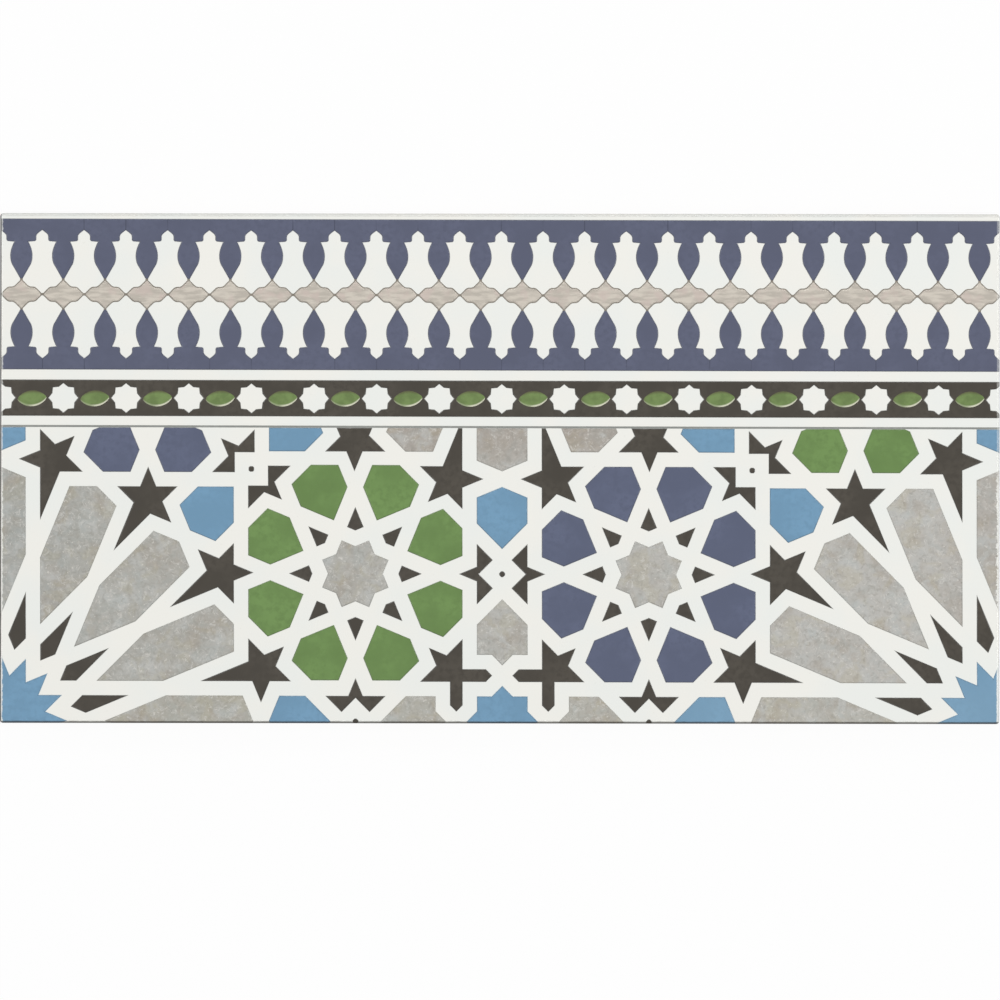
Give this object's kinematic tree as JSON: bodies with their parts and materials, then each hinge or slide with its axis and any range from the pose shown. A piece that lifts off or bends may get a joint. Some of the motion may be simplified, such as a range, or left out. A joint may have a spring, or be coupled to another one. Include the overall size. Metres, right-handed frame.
{
  "type": "border tile",
  "caption": "Oblong glazed ceramic wall border tile with soft face edges, a keyed back, and a geometric star-and-strapwork pattern under a merlon frieze.",
  "frame": {"origin": "middle of the back, on the plane that the tile rests on", "axes": "+X along the tile's length, +Y across it towards the merlon frieze, +Z out of the glazed face"},
  "size_m": [0.28, 0.1428, 0.008],
  "materials": {
    "white_glaze": "gloss",
    "navy_glaze": "gloss",
    "sky_blue_glaze": "gloss",
    "green_glaze": "gloss",
    "black_glaze": "gloss",
    "grey_glaze": "gloss",
    "beige_glaze": "gloss"
  },
  "bodies": {
    "root": {"border_tile": "white_glaze"}
  },
  "joints": []
}
